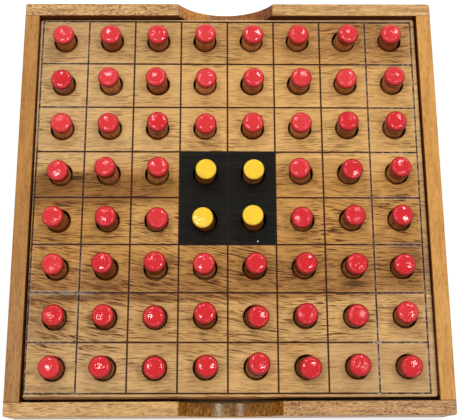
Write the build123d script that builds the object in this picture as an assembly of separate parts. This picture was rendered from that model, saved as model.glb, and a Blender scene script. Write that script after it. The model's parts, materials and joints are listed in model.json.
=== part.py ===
from build123d import *
from math import asin, atan2, cos, degrees, hypot, radians, sin
import os

# A wooden strategy board game: a square tray of four rails on a thin base, a loose board in it with
# eight by eight squares, and a loose peg with painted ends standing in every square.
# Millimetres. +X is to the right, +Y to the rear and +Z up. The origin is the middle of the underside.

# The playing grid
SQUARES = 8
SQUARE = 25.0
GROOVE_WIDTH = 0.7
GROOVE_DEPTH = 0.5
# The scored lines lie a little to the left and rear of the board's middle, turned by these degrees.
GRID_SHIFT_X = -0.9
GRID_SHIFT_Y = 0.5
GRID_TURN = -0.35
# The holes are square to the board, further to the rear and each step a little longer than a square.
DRILL_SHIFT_Y = 1.0
DRILL_CREEP = 0.13

# The pegs, both ends dipped in paint
PEG_LENGTH = 21.0
PEG_DIAMETER = 10.4
PAINT_LENGTH = 4.0
PAINT_BUILD = 0.15
PAINT_TAPER = 0.3
PEG_END_RADIUS = 1.3
PEG_LOOSENESS = 0.9
PEG_FLOOR_GAP = 0.1
# How much of the looseness a peg that leans hard takes up, and one that leans slightly
STRONG_LEAN = 0.65
SLIGHT_LEAN = 0.33

# The loose board
HOLE_DEPTH = 10.5
HOLE_FLOOR = 5.5
HOLE_EASE = 0.3
BOARD_SIDE_MARGIN = 2.0
BOARD_END_MARGIN = 1.9
BOARD_CORNER_RADIUS = 1.5
BOARD_EASE = 0.4
BOARD_REST_GAP = 0.1
SIDE_GAP = 0.45
FRONT_GAP = 1.6
REAR_GAP = 0.7
# It lies slightly askew in the tray, by this many degrees anticlockwise.
BOARD_TURN = 0.15

# The tray
SIDE_RAIL_THICK = 7.7
END_RAIL_THICK = 7.0
RAIL_ABOVE_BOARD = 4.0
BASE_THICK = 3.0
TRAY_CORNER_RADIUS = 1.5
RAIL_OUTER_EASE = 0.6
RAIL_INNER_EASE = 0.3

# The finger notches in the middle of the front and rear rails
NOTCH_WIDTH = 51.6
NOTCH_DEPTH = 14.0
NOTCH_LIP_RADIUS = 0.6
FRONT_NOTCH_SHIFT = 0.1
REAR_NOTCH_SHIFT = -1.5

# The brads: two at each corner, four up into each rail from below
BRAD_DIAMETER = 1.4
BRAD_HEAD_DIAMETER = 2.4
BRAD_HEAD_THICK = 0.6
BRAD_POINT = 2.0
BRAD_SET = 0.2
BRAD_FIT = 0.05
CORNER_BRAD_LENGTH = 20.0
CORNER_BRAD_INSET = 5.0
BASE_BRAD_LENGTH = 13.0
BASE_BRAD_CORNER = 25.0
BASE_BRAD_NOTCH = 20.0

# Which way each peg leans in its loose hole, rear row first: n is to the rear and e to the right.
# Capitals lean hard, small letters slightly, and a dot stands upright.
PEG_LEANS = """
    .  .  .  ne e  .  E  w
    s  nw nw e  e  e  sw n
    e  .  ne se .  .  nw nw
    s  NW NE se s  W  se ne
    W  .  SE SW w  SW e  .
    nw NW N  nw ne ne e  sw
    e  .  s  n  SE .  s  nw
    .  w  se e  NE SE .  s
"""

# Sizes that follow from the ones above
GRID = SQUARES * SQUARE
BOARD_WIDTH = GRID + 2 * BOARD_SIDE_MARGIN
BOARD_DEPTH = GRID + 2 * BOARD_END_MARGIN
BOARD_THICK = HOLE_FLOOR + HOLE_DEPTH
OPENING_WIDTH = BOARD_WIDTH + 2 * SIDE_GAP
OPENING_DEPTH = BOARD_DEPTH + FRONT_GAP + REAR_GAP
TRAY_WIDTH = OPENING_WIDTH + 2 * SIDE_RAIL_THICK
TRAY_DEPTH = OPENING_DEPTH + 2 * END_RAIL_THICK
BOARD_SHIFT_Y = (FRONT_GAP - REAR_GAP) / 2
BOARD_BOTTOM = BASE_THICK + BOARD_REST_GAP
BOARD_TOP = BOARD_BOTTOM + BOARD_THICK
RAIL_TOP = BOARD_TOP + RAIL_ABOVE_BOARD
RAIL_HEIGHT = RAIL_TOP - BASE_THICK
PAINT_RADIUS = PEG_DIAMETER / 2 + PAINT_BUILD
HOLE_RADIUS = PAINT_RADIUS + PEG_LOOSENESS

COMPASS = {"n": (0, 1), "e": (1, 0), "s": (0, -1), "w": (-1, 0)}
COLUMNS = "abcdefgh"


def brad(length):
    """A brad along +Z from the top of its head, at the origin, down to its point."""
    head = Pos(0, 0, BRAD_HEAD_THICK / 2) * Cylinder(BRAD_HEAD_DIAMETER / 2, BRAD_HEAD_THICK)
    shank_length = length - BRAD_HEAD_THICK - BRAD_POINT
    shank = Pos(0, 0, BRAD_HEAD_THICK + shank_length / 2) * Cylinder(BRAD_DIAMETER / 2, shank_length)
    blunt = BRAD_DIAMETER / 8
    point = Pos(0, 0, length - BRAD_POINT / 2) * Cone(BRAD_DIAMETER / 2, blunt, BRAD_POINT)
    return head + shank + point


def brad_hole(length):
    """The hole that a brad of this length fills, open at the surface that its head is set below."""
    head_depth = BRAD_SET + BRAD_HEAD_THICK
    head = Pos(0, 0, head_depth / 2) * Cylinder(BRAD_HEAD_DIAMETER / 2 + BRAD_FIT, head_depth)
    full = BRAD_SET + length + BRAD_FIT
    shank = Pos(0, 0, full / 2) * Cylinder(BRAD_DIAMETER / 2 + BRAD_FIT, full)
    return head + shank


def corner_brad_places():
    """Where each corner brad enters an end rail: a frame on its outer face with Z pointing inwards."""
    across = TRAY_WIDTH / 2 - SIDE_RAIL_THICK / 2
    places = []
    for end in (-1, 1):
        for side in (-1, 1):
            for height in (BASE_THICK + CORNER_BRAD_INSET, RAIL_TOP - CORNER_BRAD_INSET):
                spot = (side * across, end * TRAY_DEPTH / 2, height)
                places.append(Location(Plane(origin=spot, x_dir=(1, 0, 0), z_dir=(0, -end, 0))))
    return places


def base_brad_places():
    """Where each base brad enters the underside, with Z pointing up."""
    near = NOTCH_WIDTH / 2 + BASE_BRAD_NOTCH
    places = []
    for run in (-1, 1):
        for along in (near, TRAY_WIDTH / 2 - BASE_BRAD_CORNER):
            for end in (-1, 1):
                places.append(Pos(run * along, end * (TRAY_DEPTH / 2 - END_RAIL_THICK / 2), 0))
        for along in (near, TRAY_DEPTH / 2 - BASE_BRAD_CORNER):
            for side in (-1, 1):
                places.append(Pos(side * (TRAY_WIDTH / 2 - SIDE_RAIL_THICK / 2), run * along, 0))
    return places


def nailed(piece):
    """The piece with every brad hole that reaches it."""
    for place in corner_brad_places():
        piece -= place * brad_hole(CORNER_BRAD_LENGTH)
    for place in base_brad_places():
        piece -= place * brad_hole(BASE_BRAD_LENGTH)
    return piece


def edges_along(piece, axis, height=None, side=None):
    """Straight edges along an axis, at a height and on one side of the middle where those are given."""
    found = piece.edges().filter_by(axis)
    if height is not None:
        found = [edge for edge in found if abs(edge.center().Z - height) < 0.01]
    if side is not None:
        found = [edge for edge in found if side(edge.center())]
    return found


def end_rail(end, notch_shift):
    """The front (end -1) or rear (end 1) rail, full width, with its finger notch."""
    half = TRAY_WIDTH / 2
    chord = NOTCH_WIDTH / 2
    left = (notch_shift - chord, RAIL_TOP)
    right = (notch_shift + chord, RAIL_TOP)
    bottom = (notch_shift, RAIL_TOP - NOTCH_DEPTH)
    outline = [
        Line((-half, BASE_THICK), (half, BASE_THICK)),
        Line((half, BASE_THICK), (half, RAIL_TOP)),
        Line((half, RAIL_TOP), right),
        ThreePointArc(right, bottom, left),
        Line(left, (-half, RAIL_TOP)),
        Line((-half, RAIL_TOP), (-half, BASE_THICK)),
    ]
    face = make_face(outline)
    lips = [spot for spot in face.vertices() if abs(abs(spot.X - notch_shift) - chord) < 0.01]
    face = fillet(lips, NOTCH_LIP_RADIUS)
    outer = end * TRAY_DEPTH / 2
    inner = outer - end * END_RAIL_THICK
    front_plane = Plane(origin=(0, max(outer, inner), 0), x_dir=(1, 0, 0), z_dir=(0, -1, 0))
    rail = extrude(front_plane * face, END_RAIL_THICK)
    corners = [edge for edge in rail.edges().filter_by(Axis.Z) if abs(edge.center().Y - outer) < 0.01]
    rail = fillet(corners, TRAY_CORNER_RADIUS)
    outer_top = [edge for edge in rail.edges() if on_top(edge, outer, end)]
    rail = fillet(outer_top, RAIL_OUTER_EASE)
    inner_top = [edge for edge in rail.edges() if at_depth(edge, inner) and above_base(edge)]
    rail = fillet(inner_top, RAIL_INNER_EASE)
    return rail


def above_base(edge):
    """Whether an edge is one of those along a rail's top or notch, not at its foot or its ends."""
    box = edge.bounding_box()
    return box.min.Z > BASE_THICK + 0.01


def at_depth(edge, depth):
    """Whether the whole edge lies in the upright plane at this depth."""
    box = edge.bounding_box()
    return abs(box.min.Y - depth) < 0.01 and abs(box.max.Y - depth) < 0.01


def on_top(edge, outer, end):
    """Whether an edge belongs to the outer rim of an end rail: along the face, the corner or the end."""
    box = edge.bounding_box()
    level = abs(box.min.Z - RAIL_TOP) < 0.01
    beside_inner = abs(box.min.Y - (outer - end * END_RAIL_THICK)) < 0.01
    beside_inner = beside_inner and abs(box.max.Y - box.min.Y) < 0.01
    across_notch = box.max.Y - box.min.Y > 0.01 and abs(box.max.X - box.min.X) < 0.01
    across_notch = across_notch and abs(abs(edge.center().X) - TRAY_WIDTH / 2) > 1.0
    if at_depth(edge, outer):
        return above_base(edge)
    return level and not beside_inner and not across_notch


def side_rail(side):
    """The left (side -1) or right (side 1) rail, butted between the end rails."""
    outer = side * TRAY_WIDTH / 2
    middle = outer - side * SIDE_RAIL_THICK / 2
    rail = Pos(middle, 0, BASE_THICK + RAIL_HEIGHT / 2) * Box(SIDE_RAIL_THICK, OPENING_DEPTH, RAIL_HEIGHT)
    tops = edges_along(rail, Axis.Y, RAIL_TOP)
    outer_top = [edge for edge in tops if abs(edge.center().X - outer) < 0.01]
    rail = fillet(outer_top, RAIL_OUTER_EASE)
    tops = edges_along(rail, Axis.Y, RAIL_TOP)
    inner_top = [edge for edge in tops if abs(edge.center().X - (outer - side * SIDE_RAIL_THICK)) < 0.01]
    return fillet(inner_top, RAIL_INNER_EASE)


def base_panel():
    """The thin panel under the four rails."""
    panel = Pos(0, 0, BASE_THICK / 2) * Box(TRAY_WIDTH, TRAY_DEPTH, BASE_THICK)
    return fillet(panel.edges().filter_by(Axis.Z), TRAY_CORNER_RADIUS)


def in_tray(piece):
    """A piece made about the board's middle, moved to where the board lies in the tray."""
    return Pos(0, BOARD_SHIFT_Y, 0) * Rot(0, 0, BOARD_TURN) * piece


def hole_centre(column, row):
    """The middle of a square's hole on the board, counted from the front left."""
    step = SQUARE + DRILL_CREEP
    return ((column + 0.5 - SQUARES / 2) * step, (row + 0.5 - SQUARES / 2) * step + DRILL_SHIFT_Y)


def board():
    """The loose board with its scored grid and a blind hole in every square."""
    slab = Pos(0, 0, BOARD_BOTTOM + BOARD_THICK / 2) * Box(BOARD_WIDTH, BOARD_DEPTH, BOARD_THICK)
    slab = fillet(slab.edges().filter_by(Axis.Z), BOARD_CORNER_RADIUS)
    slab = fillet(slab.faces().sort_by(Axis.Z)[-1].edges(), BOARD_EASE)
    scored = GRID + GROOVE_WIDTH
    along_x = Box(scored, GROOVE_WIDTH, 2 * GROOVE_DEPTH)
    along_y = Box(GROOVE_WIDTH, scored, 2 * GROOVE_DEPTH)
    grid = Pos(GRID_SHIFT_X, GRID_SHIFT_Y, BOARD_TOP) * Rot(0, 0, GRID_TURN)
    cuts = []
    for line in range(SQUARES + 1):
        offset = line * SQUARE - GRID / 2
        cuts.append(grid * Pos(0, offset, 0) * along_x)
        cuts.append(grid * Pos(offset, 0, 0) * along_y)
    hole = Pos(0, 0, BOARD_TOP - HOLE_DEPTH / 2) * Cylinder(HOLE_RADIUS, HOLE_DEPTH)
    ease = Pos(0, 0, BOARD_TOP - HOLE_EASE / 2) * Cone(HOLE_RADIUS, HOLE_RADIUS + HOLE_EASE, HOLE_EASE)
    drilled = hole + ease
    for column in range(SQUARES):
        for row in range(SQUARES):
            x, y = hole_centre(column, row)
            cuts.append(Pos(x, y, 0) * drilled)
    return in_tray(slab.cut(*cuts))


def upright_peg():
    """A peg standing on the origin: a dowel, with a skin of paint round each end."""
    shaft = PEG_DIAMETER / 2
    bare = PAINT_LENGTH + PAINT_TAPER
    flat = PAINT_RADIUS - PEG_END_RADIUS
    bulge = PEG_END_RADIUS * (1 - cos(radians(45)))
    top = PEG_LENGTH
    outline = [
        Line((0, 0), (flat, 0)),
        ThreePointArc((flat, 0), (PAINT_RADIUS - bulge, bulge), (PAINT_RADIUS, PEG_END_RADIUS)),
        Line((PAINT_RADIUS, PEG_END_RADIUS), (PAINT_RADIUS, PAINT_LENGTH)),
        Line((PAINT_RADIUS, PAINT_LENGTH), (shaft, bare)),
        Line((shaft, bare), (shaft, top - bare)),
        Line((shaft, top - bare), (PAINT_RADIUS, top - PAINT_LENGTH)),
        Line((PAINT_RADIUS, top - PAINT_LENGTH), (PAINT_RADIUS, top - PEG_END_RADIUS)),
        ThreePointArc(
            (PAINT_RADIUS, top - PEG_END_RADIUS), (PAINT_RADIUS - bulge, top - bulge), (flat, top)
        ),
        Line((flat, top), (0, top)),
        Line((0, top), (0, 0)),
    ]
    return revolve(Plane.XZ * make_face(outline), Axis.Z)


def peg(column, row, lean):
    """The peg of one square, leaning as the letters say and still clear of its hole all round."""
    x, y = hole_centre(column, row)
    floor = BOARD_TOP - HOLE_DEPTH + PEG_FLOOR_GAP
    if lean == ".":
        return in_tray(Pos(x, y, floor) * upright_peg())
    share = STRONG_LEAN if lean.isupper() else SLIGHT_LEAN
    tilt = asin(share * PEG_LOOSENESS / (HOLE_DEPTH / 2))
    to_x = sum(COMPASS[letter][0] for letter in lean.lower())
    to_y = sum(COMPASS[letter][1] for letter in lean.lower())
    heading = atan2(to_y, to_x)
    foot = -share * PEG_LOOSENESS
    rise = (PAINT_RADIUS - PEG_END_RADIUS) * sin(tilt) + PEG_END_RADIUS * (1 - cos(tilt))
    hinge = Axis((0, 0, 0), (-sin(heading), cos(heading), 0))
    leaning = upright_peg().rotate(hinge, degrees(tilt))
    return in_tray(Pos(x + foot * cos(heading), y + foot * sin(heading), floor + rise) * leaning)


def pegs():
    """Every peg by node name: single pegs, and the middle four of each border as one group."""
    leans = [line.split() for line in PEG_LEANS.split("\n") if line.strip()]
    leans.reverse()
    last = SQUARES - 1
    groups = {}
    for row in range(SQUARES):
        for column in range(SQUARES):
            middle_row = 2 <= row <= last - 2
            middle_column = 2 <= column <= last - 2
            name = "peg_" + COLUMNS[column] + str(row + 1)
            if row == 0 and middle_column:
                name = "front_edge_pegs"
            if row == last and middle_column:
                name = "rear_edge_pegs"
            if column == 0 and middle_row:
                name = "left_edge_pegs"
            if column == last and middle_row:
                name = "right_edge_pegs"
            groups.setdefault(name, []).append(peg(column, row, leans[row][column]))
    return groups


def save(name, solids):
    """Writes one node, of one solid or of a group of separate ones."""
    shape = solids[0] if len(solids) == 1 else Compound(children=solids)
    export_step(shape, os.path.join("parts", name + ".step"))


os.makedirs("parts", exist_ok=True)
save("base_panel", [nailed(base_panel())])
save("front_rail", [nailed(end_rail(-1, FRONT_NOTCH_SHIFT))])
save("rear_rail", [nailed(end_rail(1, REAR_NOTCH_SHIFT))])
save("left_rail", [nailed(side_rail(-1))])
save("right_rail", [nailed(side_rail(1))])
set_in = Pos(0, 0, BRAD_SET)
save("corner_brads", [place * set_in * brad(CORNER_BRAD_LENGTH) for place in corner_brad_places()])
save("base_brads", [place * set_in * brad(BASE_BRAD_LENGTH) for place in base_brad_places()])
save("board", [board()])
for node, solids in pegs().items():
    save(node, solids)
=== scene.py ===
import json
from math import cos, floor, pi, radians, sin, tau

import bpy
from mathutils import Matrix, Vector, noise


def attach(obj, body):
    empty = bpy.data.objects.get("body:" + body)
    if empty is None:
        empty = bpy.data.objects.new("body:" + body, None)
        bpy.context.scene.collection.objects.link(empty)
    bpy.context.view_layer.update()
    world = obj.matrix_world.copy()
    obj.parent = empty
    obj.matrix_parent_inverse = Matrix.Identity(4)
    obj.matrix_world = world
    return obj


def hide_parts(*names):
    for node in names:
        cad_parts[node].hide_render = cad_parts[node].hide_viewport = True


# The peg board game's looks. Sizes are millimetres in the row frame unless a name says otherwise.
MM = 0.001

# The photograph's camera
IMAGE_WIDTH = 460
CAMERA_PLACE = (-6.76, -130.53, 477.1)
CAMERA_TURN = (15.215, -0.83, -0.333)
CAMERA_FOCAL_PIXELS = 917.4
CAMERA_SHIFT_PIXELS = (-0.56, 0.56)
SENSOR_WIDTH = 36.0

# Light: four soft lamps above the board and behind it, and a white studio all round
LAMP_PLACES = ((-300.0, 0.0), (-300.0, 700.0), (420.0, 0.0), (420.0, 700.0))
LAMP_HEIGHT = 1020.0
LAMP_SIZE = (125.0, 150.0)
LAMP_WATTS = 2.3
STUDIO_LIGHT = 0.76
HORIZON_SHARE = 0.3
FLOOR_SIZE = 6000.0
FLOOR_DROP = 0.05
FLOOR_GLOW = 0.5
FLOOR_GLOW_STRENGTH = 1.35
FLOOR_COLOUR = (0.86, 0.86, 0.86, 1)
WHITE = (1, 1, 1, 1)

# The tray and the board, as the CAD has them. Faces are given by how far out from the middle they lie.
RAIL_TOP = 23.1
END_RAIL_FACES = (103.05, 110.05)
SIDE_RAIL_FACES = (102.45, 110.15)
BASE_CORE_FROM = (0.85, 1.0)
BASE_CORE_TO = (2.15, 2.0)
BASE_EDGE = 109.5
BOARD_TOP = 19.1
BOARD_HALF = 101.9
GROOVE_DEPTH = 0.5
GROOVE_HALF = 0.36
SQUARE = 25.0
SQUARES = 8
GRID_MIDDLE = (-0.9, 0.95)
GRID_TURN = -0.2
PLANK_SEAM = -53.0
PLANK_SLANT = 0.03

# Where the board's grain slants: how it sets in from the front and from the rear, and along X
SLANT_FRONT = (-100.0, -60.0)
SLANT_REAR = (6.0, -30.0)
SLANT_START = -40.0
SLANT_MOST = 70.0

# Marks on the board, placed from the middle of its grid; a vein is a place, its half sizes and a tint
DUST_SPECK = (15.5, -23.3)
VEINS = (
    (-79.0, 10.5, 7.0, 2.0, (62, 44, 36)),
    (64.5, -45.3, 9.0, 2.2, (120, 94, 82)),
    (-76.0, -52.6, 26.0, 2.2, (156, 146, 140)),
    (-38.0, -53.0, 18.0, 2.2, (170, 150, 138)),
    (-58.0, -46.6, 20.0, 1.8, (206, 186, 166)),
)

# The pegs. An end's radius rounds its edge, its crown is how far the edge lies below the middle, and an
# upper red end is widest at its edge.
PEG_RADIUS = 5.2
COAT_RADIUS = 5.35
RED_WIDEST = 5.6
RED_END_RADIUS, RED_CROWN = 2.1, 0.6
YELLOW_END_RADIUS, YELLOW_CROWN = 1.2, 0.12
DIMPLE = 0.06
LUMP_SCALE = 0.45

# A coat ends in a bead and a step down to the bare wood, and its edge goes in waves
COAT_EDGE = 0.4
COAT_BEAD = 0.06
BEAD_BEFORE_EDGE = 0.2
STEP_BEFORE_EDGE, STEP_AFTER_EDGE = 0.03, 0.06
EDGE_WAVE = 0.5
WAVE_SCALE = 1.1

# What keeps the unevenness of each column, row and upper end its own
SEED_STEPS = (3.7, 5.3)
SEED_START = 11.0
UPPER_SEED = 40.0
DARK_SEED = 7.3
DIMPLE_SEED = 3.0

# How long each peg's upper coat is, row by row from the front left, and how long the lower coats are
COAT_LENGTHS = {"s": 4.2, "m": 5.8, "l": 7.8}
COATS = ("mlllllll", "lllllllm", "mllmllll", "mlmmmlll", "mmmmmmll", "smlmmsll", "lsmsmmsm", "smmsmmmm")
LOWER_COAT = "m"

# How near to upright the faces of a peg's end are, and to one another where the end is flat
UPRIGHT = 0.98
SAME_WAY = 0.99999

# What a peg's mesh holds for each point
MARKS = ("past_coat", "from_end", "upper_end", "lumpy_coat", "dark_wood")

# How finely a peg is meshed
PEG_SIDES = 64
FLAT_RINGS = 5
ROUND_RINGS = 7
SIDE_RINGS = 4
BARE_RINGS = (0.4, 1.2, 2.2)

# How deep the relief of the wood is, and of the least and the most lumpy coat
WOOD_RELIEF = 0.05
COAT_RELIEF = (0.08, 0.18)

RED = (200, 8, 24)
# Pale paints: the tint of the glints painted on the rims, and of thin coats
PALE_RED = (242, 92, 92)
YELLOW = (235, 189, 26)
PALE_YELLOW = (252, 228, 110)
LINE_BROWN = (58, 22, 10)
BLACK = (9, 6, 1)
BLACK_LIT_IN_GROOVE = (28, 22, 15)


def linear(colour):
    """A colour given as three display values from 0 to 255, as a shader takes it."""
    parts = []
    for part in colour:
        part /= 255
        parts.append(part / 12.92 if part <= 0.04045 else ((part + 0.055) / 1.055) ** 2.4)
    return (*parts, 1.0)


class Surface:
    """A material in the making: its Principled shader, and short calls for the nodes that feed it."""

    def __init__(self, name):
        self.material = bpy.data.materials.new(name)
        self.material.use_nodes = True
        self.tree = self.material.node_tree
        self.shader = self.tree.nodes["Principled BSDF"]
        coordinates = self.tree.nodes.new("ShaderNodeTexCoord").outputs["Object"]
        self.place = self.vector("SCALE", coordinates, 1 / MM)
        self.x, self.y, self.z = self.parts(self.place)

    def feed(self, socket, value):
        """Gives a socket a value, or a link where the value is another socket."""
        if isinstance(value, bpy.types.NodeSocket):
            self.tree.links.new(value, socket)
        else:
            socket.default_value = value

    def node(self, kind, inputs, **settings):
        """A node of a kind, with its settings and its inputs by name or number."""
        made = self.tree.nodes.new("ShaderNode" + kind)
        for name, value in settings.items():
            setattr(made, name, value)
        for name, value in inputs.items():
            self.feed(made.inputs[name], value)
        return made

    def math(self, operation, first, second=0.0, third=0.0):
        """The result of an operation on up to three numbers."""
        return self.node("Math", {0: first, 1: second, 2: third}, operation=operation).outputs[0]

    def product(self, *values):
        """The values multiplied."""
        result = values[0]
        for value in values[1:]:
            result = self.math("MULTIPLY", result, value)
        return result

    def vector(self, operation, first, second):
        """Vector maths; a second that isn't a vector scales the first."""
        inputs = {0: first, "Scale" if operation == "SCALE" else 1: second}
        made = self.node("VectorMath", inputs, operation=operation)
        return made.outputs["Value" if operation == "DISTANCE" else "Vector"]

    def parts(self, vector):
        """The X, Y and Z of a vector."""
        return self.node("SeparateXYZ", {0: vector}).outputs

    def joined(self, x, y, z):
        """The vector of an X, Y and Z."""
        return self.node("CombineXYZ", {0: x, 1: y, 2: z}).outputs[0]

    def ramp(self, value, low, high, start=0.0, end=1.0):
        """Goes smoothly from start to end as the value goes from low to high."""
        inputs = {"Value": value, "From Min": low, "From Max": high, "To Min": start, "To Max": end}
        return self.node("MapRange", inputs, interpolation_type="SMOOTHSTEP").outputs[0]

    def patch(self, *edges):
        """Is 1 inside some edges. Each edge is a coordinate, and where along it is 0 and 1."""
        return self.product(*(self.ramp(*edge) for edge in edges))

    def blend(self, share, first, second, mode="MIX"):
        """The second colour over the first, by its share."""
        inputs = {0: share, 6: first, 7: second}
        return self.node("Mix", inputs, data_type="RGBA", blend_type=mode).outputs[2]

    def noise(self, place, size, detail=2.0, rough=0.5):
        """Noise from 0 to 1 with features of a size in millimetres."""
        inputs = {"Vector": place, "Scale": 1 / size, "Detail": detail, "Roughness": rough}
        return self.node("TexNoise", inputs).outputs[0]

    def attribute(self, name):
        """A number that the mesh holds for each point."""
        return self.node("Attribute", {}, attribute_name=name).outputs["Fac"]

    def bump(self, height, depth):
        """A relief in which a height of 1 stands a depth in metres above 0."""
        return self.node("Bump", {"Height": height, "Distance": depth}).outputs[0]


class Wood(Surface):
    """Wood with its grain along one axis: its tone, fibres and pores, for marks to be added to."""

    def __init__(self, name, along, pale, deep, sweep=20.0, figure=5.0, pores=0.7, reach=1.0, slant=0.0):
        """The grain wanders by a sweep and is figured in a size; a reach draws its streaks out."""
        super().__init__(name)
        self.along = along
        self.across = {"X": self.x, "Y": self.y, "Z": self.z}
        wander = self.math("SUBTRACT", self.noise(self.place, 80.0, 1.0), 0.5)
        sideways = "X" if along == "Y" else "Y"
        self.across[sideways] = self.math("MULTIPLY_ADD", wander, sweep, self.across[sideways])
        if slant:
            # The grain falls to the right over a part of the board
            within = self.patch((self.y, *SLANT_FRONT), (self.y, *SLANT_REAR))
            reached = self.math("MINIMUM", self.math("SUBTRACT", self.x, SLANT_START), SLANT_MOST)
            fallen = self.product(reached, within, slant)
            self.across[sideways] = self.math("ADD", fallen, self.across[sideways])
        self.figure = self.noise(self.grain(8.0), figure, 2.0)
        self.streaks = self.noise(self.grain(9.0 * reach), 1.4, 2.0, 0.6)
        self.fibres = self.noise(self.grain(5.0 * reach), 0.7, 2.0, 0.6)
        tone = self.math("MULTIPLY", self.figure, 0.3)
        tone = self.math("MULTIPLY_ADD", self.streaks, 0.32, tone)
        tone = self.math("MULTIPLY_ADD", self.fibres, 0.38, tone)
        self.colour = self.blend(self.ramp(tone, 0.36, 0.64), linear(pale), linear(deep))
        dashes = self.noise(self.grain(8.0 * reach), 0.5, 1.0, 0.4)
        crowding = self.ramp(self.noise(self.grain(3.0), 6.0, 1.0), 0.35, 0.65, 0.68, 0.59)
        self.pores = self.ramp(self.math("SUBTRACT", dashes, crowding), 0.0, 0.05)
        self.paint(self.math("MULTIPLY", self.pores, pores), (112, 70, 36))

    def grain(self, stretch):
        """The place with its grain axis drawn out."""
        x, y, z = (
            self.math("DIVIDE", value, stretch) if axis == self.along else value
            for axis, value in self.across.items()
        )
        return self.joined(x, y, z)

    def paint(self, share, colour):
        """Lays a colour over the wood so far, by a share."""
        self.colour = self.blend(share, self.colour, linear(colour))

    def darken(self, share, tint):
        """Multiplies the wood so far by a tint, by a share."""
        self.colour = self.blend(share, self.colour, linear(tint), "MULTIPLY")

    def relief(self):
        """The height of the fibres and pores, from about 0 to 1."""
        height = self.math("MULTIPLY_ADD", self.fibres, 0.5, self.math("MULTIPLY", self.streaks, 0.3))
        return self.math("SUBTRACT", height, self.math("MULTIPLY", self.pores, 0.8))

    def finish(self, roughness, gloss, smooth=None):
        """Gives the shader the colour, sheen and relief, and returns the material."""
        sheen = self.math("MULTIPLY_ADD", self.fibres, 0.16, -0.08)
        sheen = self.math("ADD", sheen, roughness)
        if smooth:
            sheen = self.math("MULTIPLY_ADD", smooth, -0.18, sheen)
        inputs = self.shader.inputs
        self.feed(inputs["Base Color"], self.colour)
        self.feed(inputs["Roughness"], self.math("MULTIPLY_ADD", self.pores, 0.25, sheen))
        self.feed(inputs["Normal"], self.bump(self.relief(), WOOD_RELIEF * MM))
        inputs["Specular IOR Level"].default_value = gloss
        return self.material


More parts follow.
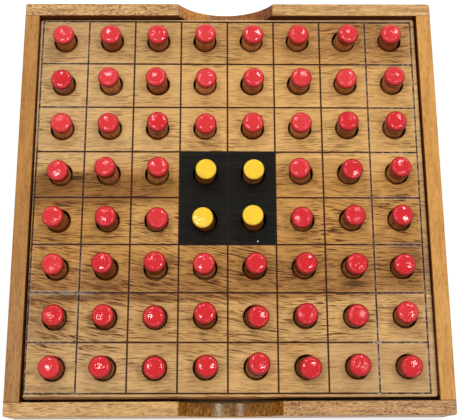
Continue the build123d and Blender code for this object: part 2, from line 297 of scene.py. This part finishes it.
def board_wood():
    """The board: three planks, each with its own tone, dark grain in the middle one, and the marks."""
    pale, deep = (218, 172, 104), (191, 145, 84)
    wood = Wood("board_wood", "X", pale, deep, sweep=14.0, pores=0.65, reach=2.0, slant=0.13)
    x, y = wood.x, wood.y
    slanted = wood.math("MULTIPLY_ADD", x, -PLANK_SLANT, y)
    swell = wood.math("SUBTRACT", wood.noise(wood.place, 45.0), 0.5)
    level = wood.math("MULTIPLY_ADD", swell, 14.0, y)
    broad = wood.noise(wood.grain(4.0), 14.0, 1.0)

    # Broad bands run deeper along the grain
    wood.darken(wood.ramp(broad, 0.5, 0.7, 0.0, 0.6), (236, 228, 216))

    # The middle plank is deeper, with a dark streak from its left and dark grain along its front
    behind_seam = wood.ramp(slanted, PLANK_SEAM - 0.4, PLANK_SEAM + 0.4)
    middle = wood.product(behind_seam, wood.ramp(level, 24.0, 10.0))
    wood.darken(middle, (234, 222, 200))
    fall = wood.math("MULTIPLY_ADD", x, -0.08, level)
    front_grain = wood.product(behind_seam, wood.ramp(fall, -22.0, -40.0))
    wood.darken(wood.math("MULTIPLY", front_grain, 0.7), (218, 211, 222))
    rise = wood.math("MULTIPLY_ADD", x, 0.09, level)
    streak = wood.patch((level, -8.0, 0.0), (rise, 11.0, 4.0), (x, -4.0, -40.0))
    wood.darken(streak, (202, 190, 176))

    # The front plank and the left of the rear one are greyer, and the rear edge is darker with painted
    # shade from the rear rail, most at its right
    front = wood.math("SUBTRACT", 1.0, behind_seam)
    wood.darken(wood.product(front, wood.ramp(x, 20.0, -60.0), 0.5), (232, 222, 214))
    wood.paint(wood.product(front, wood.ramp(x, -60.0, 60.0), 0.1), (196, 172, 152))
    left = wood.product(wood.ramp(x, 10.0, -80.0), wood.math("SUBTRACT", 1.0, middle))
    wood.paint(wood.math("MULTIPLY", left, 0.15), (178, 176, 152))
    # Painted shade from the rear rail over the rear row
    rear = wood.ramp(level, 68.0, 86.0)
    wood.darken(rear, (236, 232, 230))
    wood.darken(wood.product(rear, wood.ramp(x, -30.0, 84.0)), (236, 228, 218))

    # The front plank is mottled, deeper at the left of its second row and paler at the left of its first
    soft = wood.ramp(wood.noise(wood.grain(2.0), 9.0, 1.0), 0.4, 0.66)
    wood.darken(wood.product(front, soft), (240, 234, 226))
    second_left = wood.patch((y, -82.0, -70.0), (x, 30.0, 0.0))
    wood.darken(wood.product(front, second_left), (240, 234, 230))
    first_left = wood.patch((y, -72.0, -84.0), (x, -90.0, -70.0), (x, 30.0, 0.0))
    wood.paint(wood.product(first_left, 0.25), (226, 190, 132))

    # Three paler patches: the second row, a square left of the black ones, and the middle behind them
    row_two = wood.patch((y, -78.0, -70.0), (y, -50.0, -58.0), (x, -100.0, -70.0), (x, 96.0, 70.0))
    wood.paint(wood.math("MULTIPLY", row_two, 0.34), (224, 180, 112))
    beside = wood.patch((x, -58.0, -48.0), (x, -24.0, -28.0), (y, -30.0, -20.0), (y, 2.0, -6.0))
    wood.paint(wood.math("MULTIPLY", beside, 0.35), (226, 178, 108))
    behind = wood.patch((x, -60.0, -30.0), (x, 50.0, 20.0), (y, 24.0, 34.0), (y, 84.0, 70.0))
    wood.paint(wood.math("MULTIPLY", behind, 0.22), (232, 186, 118))

    # Deep grain shows most in the dark parts, the broad bands, the front left and the rear right
    figured = wood.math("MAXIMUM", wood.math("MULTIPLY", streak, 0.75), front_grain)
    figured = wood.math("MAXIMUM", figured, wood.ramp(y, 24.0, 4.0, 0.1, 0.55))
    figured = wood.math("MAXIMUM", figured, wood.ramp(broad, 0.5, 0.7, 0.0, 0.35))
    front_left = wood.patch((y, -78.0, -68.0), (y, -26.0, -36.0), (x, 30.0, 0.0))
    figured = wood.math("MAXIMUM", figured, front_left)
    rear_right = wood.patch((x, 36.0, 56.0), (y, 70.0, 80.0))
    figured = wood.math("MAXIMUM", figured, rear_right)
    deep_grain = wood.ramp(wood.noise(wood.grain(10.0), 0.85, 2.0), 0.53, 0.65)
    wood.darken(wood.product(deep_grain, figured), (180, 158, 140))

    # Thin dark lines run everywhere, fewest at the rear and along the front, which is plain at its right
    dense = wood.ramp(wood.noise(wood.grain(2.5), 11.0, 1.0), 0.36, 0.6, 0.25, 1.0)
    thin_lines = wood.ramp(wood.noise(wood.grain(15.0), 0.42, 1.0, 0.4), 0.56, 0.62)
    thin_lines = wood.product(thin_lines, dense, wood.ramp(y, 60.0, 0.0, 0.6, 1.0))
    plain = wood.patch((x, 30.0, 60.0), (y, -68.0, -82.0))
    smooth = wood.math("MAXIMUM", plain, wood.ramp(y, -80.0, -92.0))
    wood.darken(wood.product(thin_lines, wood.math("MULTIPLY_ADD", smooth, -0.7, 1.0)), (136, 108, 86))
    wood.paint(wood.math("MULTIPLY", plain, 0.4), (188, 152, 106))
    grid_marks(wood)
    return wood.finish(0.4, 0.09)


def grid_marks(wood):
    """Adds to the board what follows its grid: worn lines, dark holes, veins and the black square."""
    moved = wood.vector("SUBTRACT", wood.place, (*GRID_MIDDLE, 0.0))
    turn = {"Vector": moved, "Angle": radians(-GRID_TURN)}
    turned = wood.node("VectorRotate", turn, rotation_type="Z_AXIS").outputs[0]
    u, v, _ = wood.parts(turned)
    out = [wood.math("ABSOLUTE", u), wood.math("ABSOLUTE", v)]
    to_line = []
    for distance in out:
        between = wood.math("MODULO", wood.math("ADD", distance, SQUARE / 2), SQUARE)
        to_line.append(wood.math("ABSOLUTE", wood.math("SUBTRACT", between, SQUARE / 2)))
    furthest = wood.math("MAXIMUM", *out)
    on_grid = wood.math("LESS_THAN", furthest, SQUARE * SQUARES / 2 + GROOVE_HALF + 0.1)
    nearest = wood.math("MINIMUM", *to_line)
    line = wood.product(wood.ramp(nearest, GROOVE_HALF + 0.24, GROOVE_HALF - 0.04), on_grid)

    # Towards the sides the dark in the lines is patchy and worn grey, with a painted pale sheen about
    # them and pale grey dust on one stretch
    outer = wood.ramp(out[0], 48.0, 98.0, 0.05, 1.0)
    patches = wood.ramp(wood.noise(wood.place, 2.0, 2.0, 0.6), 0.44, 0.6)
    calm = wood.product(wood.ramp(out[1], 34.0, 24.0), wood.math("LESS_THAN", u, 0.0))
    outer = wood.product(outer, wood.math("MULTIPLY_ADD", calm, -0.7, 1.0))
    dusty = wood.patch((u, 70.0, 74.0), (u, 80.0, 76.0), (v, -60.0, -72.0))
    worn = wood.product(outer, patches)
    # A pale sheen painted about the lines towards the sides, as the varnish's highlight
    painted_sheen = wood.product(wood.ramp(nearest, 1.6, 0.4), on_grid, outer)
    wood.paint(wood.math("MULTIPLY", painted_sheen, 0.2), (206, 194, 176))
    wood.paint(wood.product(line, wood.ramp(worn, 0.0, 1.0, 0.97, 0.5)), LINE_BROWN)
    wood.paint(wood.product(line, worn, 0.1), (168, 168, 164))
    wood.paint(wood.product(line, dusty, wood.ramp(patches, 0.0, 1.0, 0.1, 0.75)), (172, 166, 152))

    # The strip outside the lines is paler at its left, right and rear, and has painted shade along its
    # front edge
    off_grid = wood.math("SUBTRACT", 1.0, on_grid)
    wood.paint(wood.product(off_grid, wood.ramp(out[0], 90.0, 99.0), 0.12), (222, 206, 176))
    wood.paint(wood.product(off_grid, wood.ramp(v, 99.0, 100.5), 0.35), (222, 188, 156))
    # Painted shade along the board's front edge
    wood.darken(wood.ramp(v, 0.8 - BOARD_HALF, -BOARD_HALF), (150, 122, 100))

    # The holes are painted dark inside as shade, darker with depth
    hole_shade_mask = wood.product(wood.math("LESS_THAN", wood.z, BOARD_TOP - GROOVE_DEPTH - 0.05), on_grid)
    deep = wood.ramp(wood.z, BOARD_TOP - GROOVE_DEPTH - 0.1, BOARD_TOP - 2.5)
    wood.paint(wood.math("MULTIPLY", hole_shade_mask, 0.6), (84, 46, 20))
    wood.paint(wood.product(hole_shade_mask, deep, 0.92), (16, 9, 6))

    # Dark veins beside two holes and along the seam at the left, and pale dust on a line there
    for middle_u, middle_v, length, width, tint in VEINS:
        aside = wood.joined(
            wood.math("DIVIDE", wood.math("SUBTRACT", u, middle_u), length),
            wood.math("DIVIDE", wood.math("SUBTRACT", v, middle_v), width),
            wood.math("MULTIPLY", wood.streaks, 0.8),
        )
        near = wood.ramp(wood.vector("DISTANCE", aside, (0.0, 0.0, 0.0)), 1.1, 0.5)
        wood.darken(wood.math("MULTIPLY", near, 0.8), tint)
    from_line = wood.math("ABSOLUTE", wood.math("ADD", v, 2 * SQUARE))
    dust = wood.patch((from_line, 1.8, 0.4), (u, -64.0, -76.0))
    wood.paint(wood.product(dust, wood.ramp(patches, 0.0, 1.0, 0.12, 0.42)), (158, 152, 140))

    # The middle four squares are painted black, thinly enough for the grain to show; in their grooves the
    # black is painted lighter to cancel the grooves' shade
    on_black = wood.math("LESS_THAN", furthest, SQUARE + GROOVE_HALF)
    faint = wood.product(wood.ramp(wood.streaks, 0.5, 0.75), 0.025)
    black = wood.blend(faint, wood.blend(line, linear(BLACK), linear(BLACK_LIT_IN_GROOVE)), wood.colour)
    wood.colour = wood.blend(on_black, wood.colour, black)
    speck = wood.vector("DISTANCE", wood.joined(u, v, 0.0), (*DUST_SPECK, 0.0))
    wood.paint(wood.product(wood.ramp(speck, 0.5, 0.25), on_black), (225, 222, 216))


def rail_wood(name, along, pale, deep, faces, **look):
    """A pair of rails: browner in the notches, glossier in the front one, with painted shade on the walls
    towards the board.
    """
    inner_face, outer_face = faces
    wood = Wood(name, along, pale, deep, **look)
    if along == "Y":
        # The left rail is deeper and redder, the more so towards the front
        wood.darken(wood.math("LESS_THAN", wood.x, 0.0), (222, 214, 204))
        wood.darken(wood.patch((wood.x, 0.0, -100.0), (wood.y, 60.0, -90.0)), (236, 240, 255))
        butt = wood.ramp(wood.math("ABSOLUTE", wood.y), END_RAIL_FACES[0] - 0.4, END_RAIL_FACES[0] - 0.1)
        wood.darken(butt, (110, 80, 60))
    else:
        # Short dark and pale freckles crowd at the rear rail's left and the front rail's right
        side = wood.product(wood.x, wood.math("SIGN", wood.y), -1.0)
        busy = wood.ramp(side, -20.0, 30.0, 0.15, 1.0)
        bands = wood.ramp(wood.noise(wood.grain(5.0), 3.0, 1.0), 0.38, 0.6, 0.35, 1.0)
        freckles = wood.noise(wood.grain(1.8), 0.85, 2.0, 0.6)
        wood.paint(wood.product(wood.ramp(freckles, 0.51, 0.62), busy, bands, 0.95), (120, 76, 46))
        wood.paint(wood.product(wood.ramp(freckles, 0.42, 0.3), busy, 0.35), (236, 198, 148))
        front = wood.product(wood.ramp(side, 0.0, 40.0), wood.math("LESS_THAN", wood.y, 0.0))
        wood.darken(front, (238, 232, 238))

    # What lies below the top and inside the outer face is a notch, or the wall that faces the board
    out = wood.math("ABSOLUTE", wood.x if along == "Y" else wood.y)
    below_top = wood.ramp(wood.z, RAIL_TOP - 0.15, RAIL_TOP - 0.9)
    within = wood.product(below_top, wood.math("LESS_THAN", out, outer_face - 0.3))
    flecks = wood.noise(wood.joined(wood.x, wood.math("DIVIDE", wood.y, 2.5), wood.z), 0.9, 2.0, 0.6)
    rear = wood.math("GREATER_THAN", wood.y, 0.0)
    wood.paint(within, (136, 84, 16))
    wood.paint(wood.product(within, rear), (148, 92, 44))
    wood.paint(wood.product(within, rear, wood.ramp(wood.x, -9.8, -10.6)), (190, 132, 64))
    wood.darken(wood.product(within, rear, wood.ramp(wood.x, 10.0, 24.0)), (206, 180, 170))
    # A pale patch painted in the front notch's middle stands in for the lamps' glint on its varnish
    painted_glint_patch = wood.patch((wood.x, -10.0, -6.0), (wood.x, 1.5, 0.0))
    wood.paint(wood.product(within, wood.math("SUBTRACT", 1.0, rear), painted_glint_patch, 0.5), (160, 136, 92))
    wood.paint(wood.product(within, wood.ramp(flecks, 0.46, 0.6, 0.0, 0.6)), (74, 34, 8))
    wood.paint(wood.product(within, wood.ramp(flecks, 0.44, 0.34, 0.0, 0.35)), (196, 140, 74))
    # The walls that face the board are painted dark brown as shade
    wall = wood.product(below_top, wood.math("LESS_THAN", out, inner_face + 0.06))
    wood.paint(wood.math("MULTIPLY", wall, 0.9), (84, 38, 8))
    return wood.finish(0.38, 0.18, smooth=wood.product(within, wood.math("SUBTRACT", 1.0, rear)))


def dipped_wood(name, upper, lower, gloss, glint, shade):
    """A dowel dipped in paint at both ends. A paint is its colour, the tint of the glints painted on its
    rim, and the tint of the shade painted on its side.
    """
    wood = Wood(name, "Z", (232, 178, 118), (188, 134, 80), sweep=0.0, figure=2.2, pores=0.5)
    past = wood.attribute("past_coat")
    distance = wood.attribute("from_end")
    top = wood.attribute("upper_end")
    # For the upper or the lower end: the paint's colour, its painted rim glints' tint, and its painted
    # side shade's tint
    coat, worn, side = (wood.blend(top, linear(low), linear(high)) for low, high in zip(lower, upper))

    # The rim has pale specks painted on as glints, the sides have painted shade, long coats have more
    # painted shade at the end's edge, and short coats are paler
    glint_specks = wood.ramp(wood.noise(wood.place, 0.9, 1.0), 0.46, 0.62, 0.05, 0.9)
    some = wood.ramp(wood.noise(wood.place, 5.0, 1.0), 0.42, 0.6, 0.1, 1.0)
    rim_glints = wood.product(wood.patch((distance, 0.0, 0.06), (distance, 0.6, 0.2)), glint_specks, some)
    coat = wood.blend(rim_glints, coat, worn)
    cloudy = wood.ramp(wood.noise(wood.place, 2.2, 2.0), 0.4, 0.7, 0.0, 0.3)
    coat = wood.blend(cloudy, coat, linear((236, 216, 206)), "MULTIPLY")
    # Painted shade on the coat's sides
    coat = wood.blend(wood.ramp(distance, 0.3, 2.2), coat, side, "MULTIPLY")
    # Long coats get more painted shade at the edge of the end
    deep = wood.ramp(wood.math("SUBTRACT", distance, past), 4.2, 7.8)
    edge = wood.product(wood.ramp(distance, 0.0, 1.1), deep, 0.64)
    coat = wood.blend(edge, coat, linear((186, 112, 100)), "MULTIPLY")
    thin = wood.product(wood.ramp(distance, 0.8, 0.1), wood.math("SUBTRACT", 1.0, deep), top, 0.22)
    coat = wood.blend(thin, coat, linear(upper[1]))

    # The bare wood differs from peg to peg, is in shade towards the hole, and is stained near the coat
    wood.darken(wood.attribute("dark_wood"), (196, 160, 138))
    wood.darken(wood.ramp(past, 0.3, 3.0, 0.2, 0.65), shade)
    stain = wood.product(wood.ramp(past, 1.3, 0.0), 0.45)
    wood.colour = wood.blend(stain, wood.colour, wood.blend(0.5, coat, linear((104, 40, 14))))
    coated = wood.ramp(past, 0.03, -0.03)

    # The coat is glossy, with a dimpled skin that is deeper on the lumpy ones
    wood.feed(wood.shader.inputs["Base Color"], wood.blend(coated, wood.colour, coat))
    wood.feed(wood.shader.inputs["Roughness"], wood.ramp(coated, 0.0, 1.0, 0.5, 0.08))
    wood.shader.inputs["Specular Tint"].default_value = linear(glint)
    wood.shader.inputs["Specular IOR Level"].default_value = gloss
    peel = wood.math("ADD", wood.noise(wood.place, 1.4, 2.0, 0.5), wood.noise(wood.place, 3.0, 1.0))
    height = wood.node("Mix", {0: coated, 2: wood.relief(), 3: peel}).outputs[0]
    least, most = COAT_RELIEF
    depth = wood.ramp(wood.attribute("lumpy_coat"), 0.2, 0.9, least * MM, most * MM)
    wood.feed(wood.shader.inputs["Normal"], wood.bump(height, depth))
    return wood.material


def ply_wood():
    """The thin base: plain below, with its three layers showing at the edge."""
    wood = Wood("base_plywood", "X", (214, 178, 128), (186, 146, 96), sweep=30.0, figure=6.0, pores=0.4)
    core = wood.patch((wood.z, *BASE_CORE_FROM), (wood.z, *BASE_CORE_TO))
    out = wood.math("MAXIMUM", wood.math("ABSOLUTE", wood.x), wood.math("ABSOLUTE", wood.y))
    at_edge = wood.math("GREATER_THAN", out, BASE_EDGE)
    wood.darken(wood.product(core, at_edge), (196, 172, 146))
    return wood.finish(0.6, 0.15)


def brad_steel():
    """Plain steel with a little tarnish."""
    steel = Surface("brad_steel")
    tarnish = steel.noise(steel.place, 0.8, 3.0)
    colour = steel.blend(tarnish, linear((196, 194, 190)), linear((150, 142, 132)))
    steel.feed(steel.shader.inputs["Base Color"], colour)
    steel.feed(steel.shader.inputs["Roughness"], steel.ramp(tarnish, 0.2, 0.8, 0.25, 0.5))
    steel.feed(steel.shader.inputs["Normal"], steel.bump(tarnish, 0.01 * MM))
    steel.shader.inputs["Metallic"].default_value = 1.0
    return steel.material


def dress(node, material):
    """Gives a CAD node one material."""
    mesh_object = frame["nodes"][node]
    for slot in mesh_object.material_slots:
        slot.material = material


def end_outline(end_radius, widest, coat):
    """An end of a peg, from its middle outwards and along its side: radius, distance from the end."""
    flat = widest - end_radius
    outline = [(flat * step / FLAT_RINGS, 0.0) for step in range(1, FLAT_RINGS + 1)]
    for step in range(1, ROUND_RINGS + 1):
        angle = pi / 2 * step / ROUND_RINGS
        outline.append((flat + end_radius * sin(angle), end_radius * (1 - cos(angle))))
    for step in range(1, SIDE_RINGS + 1):
        further = (coat - COAT_EDGE - end_radius) * step / SIDE_RINGS
        outline.append((widest + (COAT_RADIUS - widest) * step / SIDE_RINGS, end_radius + further))
    outline.append((COAT_RADIUS + COAT_BEAD, coat - BEAD_BEFORE_EDGE))
    outline += [(COAT_RADIUS, coat - STEP_BEFORE_EDGE), (PEG_RADIUS, coat + STEP_AFTER_EDGE)]
    outline += [(PEG_RADIUS, coat + further) for further in BARE_RINGS]
    return outline


def peg_axes(node):
    """Each peg of a CAD node: its column, its row, and the middle points of its foot and its top."""
    mesh = frame["nodes"][node].data
    ends = {}
    for face in mesh.polygons:
        if abs(face.normal.z) < UPRIGHT:
            continue
        place = face.center / MM
        column = floor((place.x - GRID_MIDDLE[0]) / SQUARE)
        row = floor((place.y - GRID_MIDDLE[1]) / SQUARE)
        end = ends.setdefault((column, row, face.normal.z > 0), [])
        end.append((face.area, place, face.normal.copy()))
    pegs = []
    for (column, row, is_top), faces in sorted(ends.items(), key=lambda item: item[0]):
        # The flat of an end is all the faces with its largest one's normal; a foot comes before its top
        main = max(faces, key=lambda face: face[0])[2]
        cap = [face for face in faces if face[2].dot(main) > SAME_WAY]
        area = sum(face[0] for face in cap)
        middle = sum((place * part for part, place, _ in cap), Vector()) / area
        if is_top:
            pegs.append((column, row, foot, middle))
        else:
            foot = middle
    return pegs


def share_of(seed):
    """A share from 0 to 1 that a place always gets, most often near the middle."""
    return min(max(0.5 + 1.2 * noise.noise(seed), 0.0), 1.0)


def dimple(x, y, end_seed):
    """How deep the uneven paint on an end is sunk at a place on it."""
    place = Vector((x * LUMP_SCALE, y * LUMP_SCALE, DIMPLE_SEED))
    return DIMPLE * (noise.noise(place + end_seed) + 1.0)


def peg_rings(column, row, upper_is_red):
    """A peg's rings from its foot to its top: radius, distance from the end, and how that end is."""
    rings = []
    for is_top in (False, True):
        coat = COAT_LENGTHS[COATS[row + SQUARES // 2][column + SQUARES // 2] if is_top else LOWER_COAT]
        is_red = is_top == upper_is_red
        end_radius = RED_END_RADIUS if is_red else YELLOW_END_RADIUS
        crown = RED_CROWN if is_red else YELLOW_CROWN
        widest = RED_WIDEST if is_top and is_red else COAT_RADIUS
        outline = end_outline(end_radius, widest, coat)
        end = [(radius, distance, coat, is_top, end_radius, crown) for radius, distance in outline]
        rings += reversed(end) if is_top else end
    return rings


def peg_shape(column, row, foot, top, upper_is_red, points, faces, marks):
    """Adds one peg with uneven coats of paint to the points, the faces and the marks of the points."""
    axis = (top - foot).normalized()
    length = (top - foot).length
    across = axis.orthogonal().normalized()
    along = axis.cross(across)
    seed = Vector((column * SEED_STEPS[0], row * SEED_STEPS[1], SEED_START))
    end_seeds = (seed, seed + Vector((0, 0, UPPER_SEED)))
    lumpy = share_of(seed)
    dark = share_of(seed + Vector((0, 0, DARK_SEED)))
    first = len(points)
    rings = peg_rings(column, row, upper_is_red)
    for radius, distance, coat, is_top, end_radius, crown in rings:
        end_seed = end_seeds[is_top]
        near_end = max(1.0 - distance / end_radius, 0.0)
        near_edge = min(max((distance - end_radius) / (coat - COAT_EDGE - end_radius), 0.0), 1.0)
        near_edge *= min(max(1.0 - (distance - coat) / BARE_RINGS[-1], 0.0), 1.0)
        for step in range(PEG_SIDES):
            turn = tau * step / PEG_SIDES
            x, y = radius * cos(turn), radius * sin(turn)
            round_place = Vector((cos(turn) * WAVE_SCALE, sin(turn) * WAVE_SCALE, 0.0))
            wave = noise.noise(round_place + end_seed) * EDGE_WAVE
            sunk = near_end * (crown * (radius / COAT_RADIUS) ** 2 + dimple(x, y, end_seed))
            from_end = distance + wave * near_edge + sunk
            height = length - from_end if is_top else from_end
            points.append((foot + across * x + along * y + axis * height) * MM)
            marks.append((distance - coat, distance, is_top, lumpy, dark))
    for start in range(first, first + (len(rings) - 1) * PEG_SIDES, PEG_SIDES):
        for step in range(PEG_SIDES):
            one, two = start + step, start + (step + 1) % PEG_SIDES
            faces.append((one, two, two + PEG_SIDES, one + PEG_SIDES))
    for is_top, start in ((False, first), (True, first + (len(rings) - 1) * PEG_SIDES)):
        sunk = dimple(0.0, 0.0, end_seeds[is_top])
        height = length - sunk if is_top else sunk
        middle = len(points)
        points.append((foot + axis * height) * MM)
        marks.append((-COAT_LENGTHS[LOWER_COAT], 0.0, is_top, lumpy, dark))
        for step in range(PEG_SIDES):
            one, two = start + step, start + (step + 1) % PEG_SIDES
            faces.append((one, two, middle) if is_top else (two, one, middle))


def make_pegs(node, material, slot):
    """The painted pegs that stand for a CAD node of one peg or of a group."""
    points, faces, marks = [], [], []
    for column, row, foot, top in peg_axes(node):
        peg_shape(column, row, foot, top, slot == "red_tipped_peg", points, faces, marks)
    mesh = bpy.data.meshes.new("painted_" + node)
    mesh.from_pydata(points, [], faces)
    mesh.shade_smooth()
    for name, values in zip(MARKS, zip(*marks)):
        mesh.attributes.new(name, "FLOAT", "POINT").data.foreach_set("value", values)
    mesh.materials.append(material)
    piece = bpy.data.objects.new("painted_" + node, mesh)
    bpy.context.scene.collection.objects.link(piece)
    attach(piece, node)
    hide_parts(node)


def make_camera():
    """The camera at the photograph's place and angle."""
    data = bpy.data.cameras.new("photo_camera")
    data.sensor_fit = "HORIZONTAL"
    data.sensor_width = SENSOR_WIDTH
    data.lens = CAMERA_FOCAL_PIXELS / IMAGE_WIDTH * SENSOR_WIDTH
    data.shift_x = CAMERA_SHIFT_PIXELS[0] / IMAGE_WIDTH
    data.shift_y = CAMERA_SHIFT_PIXELS[1] / IMAGE_WIDTH
    data.clip_start = 0.01
    camera = bpy.data.objects.new("photo_camera", data)
    camera.location = Vector(CAMERA_PLACE) * MM
    camera.rotation_euler = [radians(angle) for angle in CAMERA_TURN]
    bpy.context.scene.collection.objects.link(camera)
    bpy.context.scene.camera = camera


def make_lamp(across, behind):
    """A soft lamp high up, turned to the tray's middle."""
    data = bpy.data.lights.new("lamp", "AREA")
    data.shape = "RECTANGLE"
    data.size = LAMP_SIZE[0] * MM
    data.size_y = LAMP_SIZE[1] * MM
    data.energy = LAMP_WATTS
    lamp = bpy.data.objects.new("lamp", data)
    place = Vector((across, behind, LAMP_HEIGHT)) * MM
    lamp.location = place
    lamp.rotation_euler = place.to_track_quat("Z", "Y").to_euler()
    bpy.context.scene.collection.objects.link(lamp)


def seeing_rays(tree):
    """Is 1 for a ray that may show the background: the camera's, a reflected or a transmitted one."""
    rays = tree.nodes.new("ShaderNodeLightPath").outputs
    some = rays["Is Camera Ray"]
    for name in ("Is Glossy Ray", "Is Transmission Ray"):
        either = tree.nodes.new("ShaderNodeMath")
        either.operation = "MAXIMUM"
        tree.links.new(some, either.inputs[0])
        tree.links.new(rays[name], either.inputs[1])
        some = either.outputs[0]
    return some


def make_studio():
    """A white studio, seen as white but lighting the object at a plain level, least at its horizon."""
    world = bpy.data.worlds.new("studio")
    world.use_nodes = True
    tree = world.node_tree
    light = tree.nodes["Background"]
    light.inputs["Color"].default_value = WHITE
    direction = tree.nodes.new("ShaderNodeSeparateXYZ")
    tree.links.new(tree.nodes.new("ShaderNodeTexCoord").outputs["Generated"], direction.inputs[0])
    height = tree.nodes.new("ShaderNodeMapRange")
    height.inputs["From Min"].default_value = 0.0
    height.inputs["From Max"].default_value = 1.0
    height.inputs["To Min"].default_value = STUDIO_LIGHT * HORIZON_SHARE
    height.inputs["To Max"].default_value = STUDIO_LIGHT
    tree.links.new(direction.outputs[2], height.inputs["Value"])
    tree.links.new(height.outputs[0], light.inputs["Strength"])
    seen = tree.nodes.new("ShaderNodeBackground")
    seen.inputs["Color"].default_value = WHITE
    mix = tree.nodes.new("ShaderNodeMixShader")
    tree.links.new(seeing_rays(tree), mix.inputs[0])
    tree.links.new(light.outputs[0], mix.inputs[1])
    tree.links.new(seen.outputs[0], mix.inputs[2])
    tree.links.new(mix.outputs[0], tree.nodes["World Output"].inputs["Surface"])
    bpy.context.scene.world = world


def make_floor():
    """A wide white floor that keeps a soft part of the object's shadow."""
    half = FLOOR_SIZE / 2 * MM
    drop = -FLOOR_DROP * MM
    mesh = bpy.data.meshes.new("floor")
    corners = [(-half, -half, drop), (half, -half, drop), (half, half, drop), (-half, half, drop)]
    mesh.from_pydata(corners, [], [(0, 1, 2, 3)])
    surface = Surface("floor")
    nodes = surface.tree.nodes
    surface.shader.inputs["Base Color"].default_value = FLOOR_COLOUR
    surface.shader.inputs["Roughness"].default_value = 0.9
    surface.shader.inputs["Specular IOR Level"].default_value = 0.0
    glow = surface.node("Emission", {"Color": WHITE, "Strength": FLOOR_GLOW_STRENGTH}).outputs[0]
    share = surface.math("MULTIPLY", seeing_rays(surface.tree), FLOOR_GLOW)
    mixed = surface.node("MixShader", {0: share, 1: surface.shader.outputs[0], 2: glow}).outputs[0]
    surface.tree.links.new(mixed, nodes["Material Output"].inputs["Surface"])
    mesh.materials.append(surface.material)
    floor_object = bpy.data.objects.new("floor", mesh)
    bpy.context.scene.collection.objects.link(floor_object)


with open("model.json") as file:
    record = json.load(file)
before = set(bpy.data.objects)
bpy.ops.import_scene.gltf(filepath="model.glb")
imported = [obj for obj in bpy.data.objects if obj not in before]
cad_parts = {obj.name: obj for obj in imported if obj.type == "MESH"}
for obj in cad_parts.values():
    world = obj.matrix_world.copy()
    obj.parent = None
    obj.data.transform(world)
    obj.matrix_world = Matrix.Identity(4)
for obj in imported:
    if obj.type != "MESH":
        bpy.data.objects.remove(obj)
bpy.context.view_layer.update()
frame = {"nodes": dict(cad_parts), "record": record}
slots = {part["node"]: part["material_slot"] for part in frame["record"]["subparts"]}

make_camera()
for across, behind in LAMP_PLACES:
    make_lamp(across, behind)
make_studio()
make_floor()
bpy.context.scene.view_settings.view_transform = "Standard"

materials = {
    "board_wood": board_wood(),
    "end_rail_wood": rail_wood(
        "end_rail_wood", "X", (214, 170, 107), (164, 119, 69), END_RAIL_FACES, sweep=12.0, figure=2.6
    ),
    "side_rail_wood": rail_wood(
        "side_rail_wood", "Y", (207, 151, 75), (178, 121, 53), SIDE_RAIL_FACES,
        sweep=8.0, figure=3.0, pores=0.25,
    ),
    "base_plywood": ply_wood(),
    "brad_steel": brad_steel(),
    # Each paint is its colour, the tint of the glints painted on its rim, and the tint of the shade
    # painted on its side
    "red_tipped_peg": dipped_wood(
        "red_tipped_peg", (RED, PALE_RED, (160, 38, 28)), (YELLOW, PALE_YELLOW, (212, 176, 130)),
        gloss=0.56, glint=(255, 208, 206), shade=(240, 184, 136),
    ),
    "yellow_tipped_peg": dipped_wood(
        "yellow_tipped_peg", (YELLOW, PALE_YELLOW, (166, 118, 80)), (RED, PALE_RED, (184, 82, 60)),
        gloss=0.2, glint=(255, 255, 255), shade=(110, 62, 48),
    ),
}
for node, slot in slots.items():
    if slot.endswith("_peg"):
        make_pegs(node, materials[slot], slot)
    else:
        dress(node, materials[slot])
